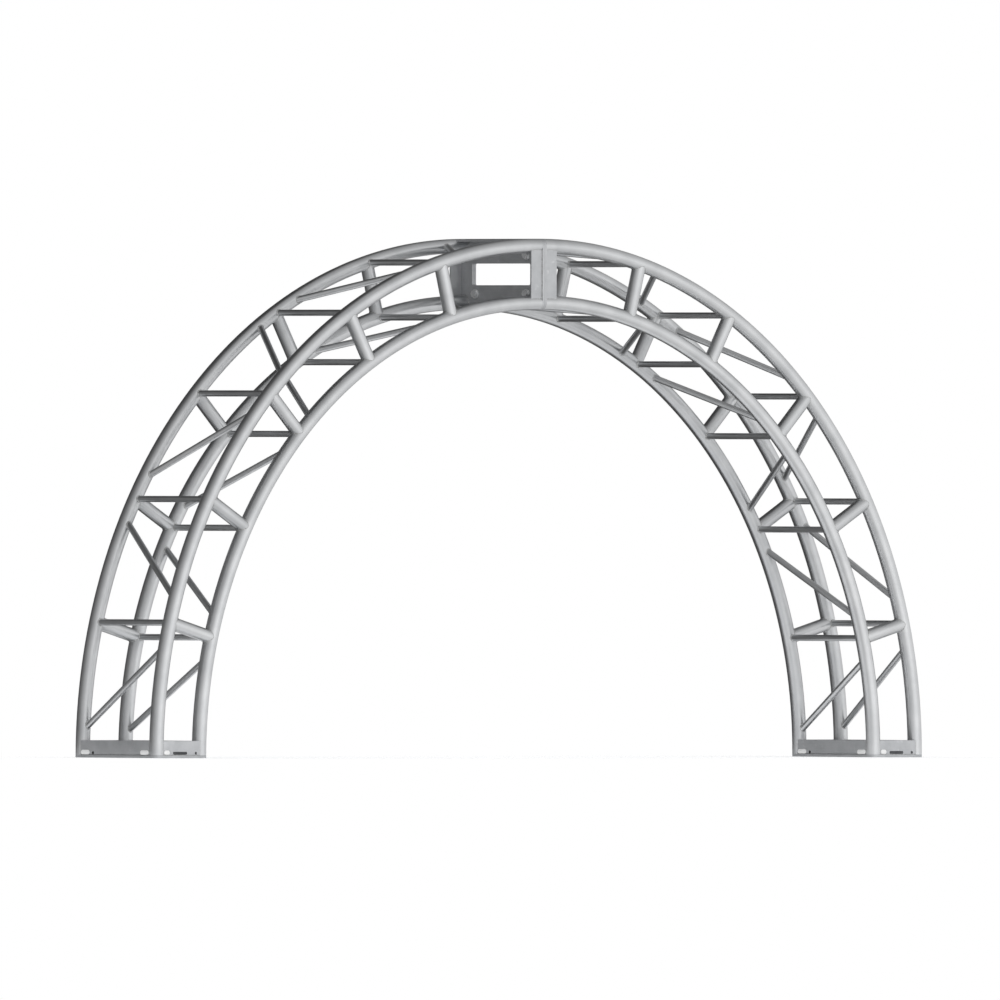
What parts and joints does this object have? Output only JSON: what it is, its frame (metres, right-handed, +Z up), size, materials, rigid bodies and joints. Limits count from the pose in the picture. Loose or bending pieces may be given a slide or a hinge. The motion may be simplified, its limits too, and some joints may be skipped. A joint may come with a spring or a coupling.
{
  "type": "circular lighting truss",
  "caption": "Half-circle aluminium box truss arch for stage lighting, in bolted quarter segments of curved chord tubes, rungs, braces, diagonals and end frames.",
  "frame": {"origin": "on the floor, in the middle between the two feet", "axes": "+X along the span to the right foot, +Y through the depth to the back, +Z up"},
  "size_m": [3.6576, 0.4382, 1.8286],
  "materials": {
    "tube_aluminium": "drawn tube, mill finish, satin, with weld beads",
    "plate_aluminium": "flat plate, mill finish, satin, lightly brushed",
    "zinc_plated_steel": "bright zinc plating"
  },
  "bodies": {
    "root": {"left_outer_front_chord": "tube_aluminium", "left_outer_back_chord": "tube_aluminium", "left_inner_front_chord": "tube_aluminium", "left_inner_back_chord": "tube_aluminium", "left_ring_1_front_rung_outer_brace": "tube_aluminium", "left_ring_1_back_rung_inner_brace": "tube_aluminium", "left_ring_2_front_rung_outer_brace": "tube_aluminium", "left_ring_2_back_rung_inner_brace": "tube_aluminium", "left_ring_3_front_rung_outer_brace": "tube_aluminium", "left_ring_3_back_rung_inner_brace": "tube_aluminium", "left_ring_4_front_rung_outer_brace": "tube_aluminium", "left_ring_4_back_rung_inner_brace": "tube_aluminium", "left_ring_5_front_rung_outer_brace": "tube_aluminium", "left_ring_5_back_rung_inner_brace": "tube_aluminium", "left_outer_diagonal_1": "tube_aluminium", "left_inner_diagonal_1": "tube_aluminium", "left_outer_diagonal_2": "tube_aluminium", "left_inner_diagonal_2": "tube_aluminium", "left_outer_diagonal_3": "tube_aluminium", "left_inner_diagonal_3": "tube_aluminium", "left_outer_diagonal_4": "tube_aluminium", "left_inner_diagonal_4": "tube_aluminium", "left_outer_diagonal_5": "tube_aluminium", "left_inner_diagonal_5": "tube_aluminium", "left_outer_diagonal_6": "tube_aluminium", "left_inner_diagonal_6": "tube_aluminium", "left_foot_frame": "plate_aluminium", "left_crown_frame": "plate_aluminium", "right_outer_front_chord": "tube_aluminium", "right_outer_back_chord": "tube_aluminium", "right_inner_front_chord": "tube_aluminium", "right_inner_back_chord": "tube_aluminium", "right_ring_1_front_rung_outer_brace": "tube_aluminium", "right_ring_1_back_rung_inner_brace": "tube_aluminium", "right_ring_2_front_rung_outer_brace": "tube_aluminium", "right_ring_2_back_rung_inner_brace": "tube_aluminium", "right_ring_3_front_rung_outer_brace": "tube_aluminium", "right_ring_3_back_rung_inner_brace": "tube_aluminium", "right_ring_4_front_rung_outer_brace": "tube_aluminium", "right_ring_4_back_rung_inner_brace": "tube_aluminium", "right_ring_5_front_rung_outer_brace": "tube_aluminium", "right_ring_5_back_rung_inner_brace": "tube_aluminium", "right_outer_diagonal_1": "tube_aluminium", "right_inner_diagonal_1": "tube_aluminium", "right_outer_diagonal_2": "tube_aluminium", "right_inner_diagonal_2": "tube_aluminium", "right_outer_diagonal_3": "tube_aluminium", "right_inner_diagonal_3": "tube_aluminium", "right_outer_diagonal_4": "tube_aluminium", "right_inner_diagonal_4": "tube_aluminium", "right_outer_diagonal_5": "tube_aluminium", "right_inner_diagonal_5": "tube_aluminium", "right_outer_diagonal_6": "tube_aluminium", "right_inner_diagonal_6": "tube_aluminium", "right_foot_frame": "plate_aluminium", "right_crown_frame": "plate_aluminium", "crown_bolt_outer_front": "zinc_plated_steel", "crown_bolt_outer_back": "zinc_plated_steel", "crown_bolt_inner_front": "zinc_plated_steel", "crown_bolt_inner_back": "zinc_plated_steel"}
  },
  "joints": []
}
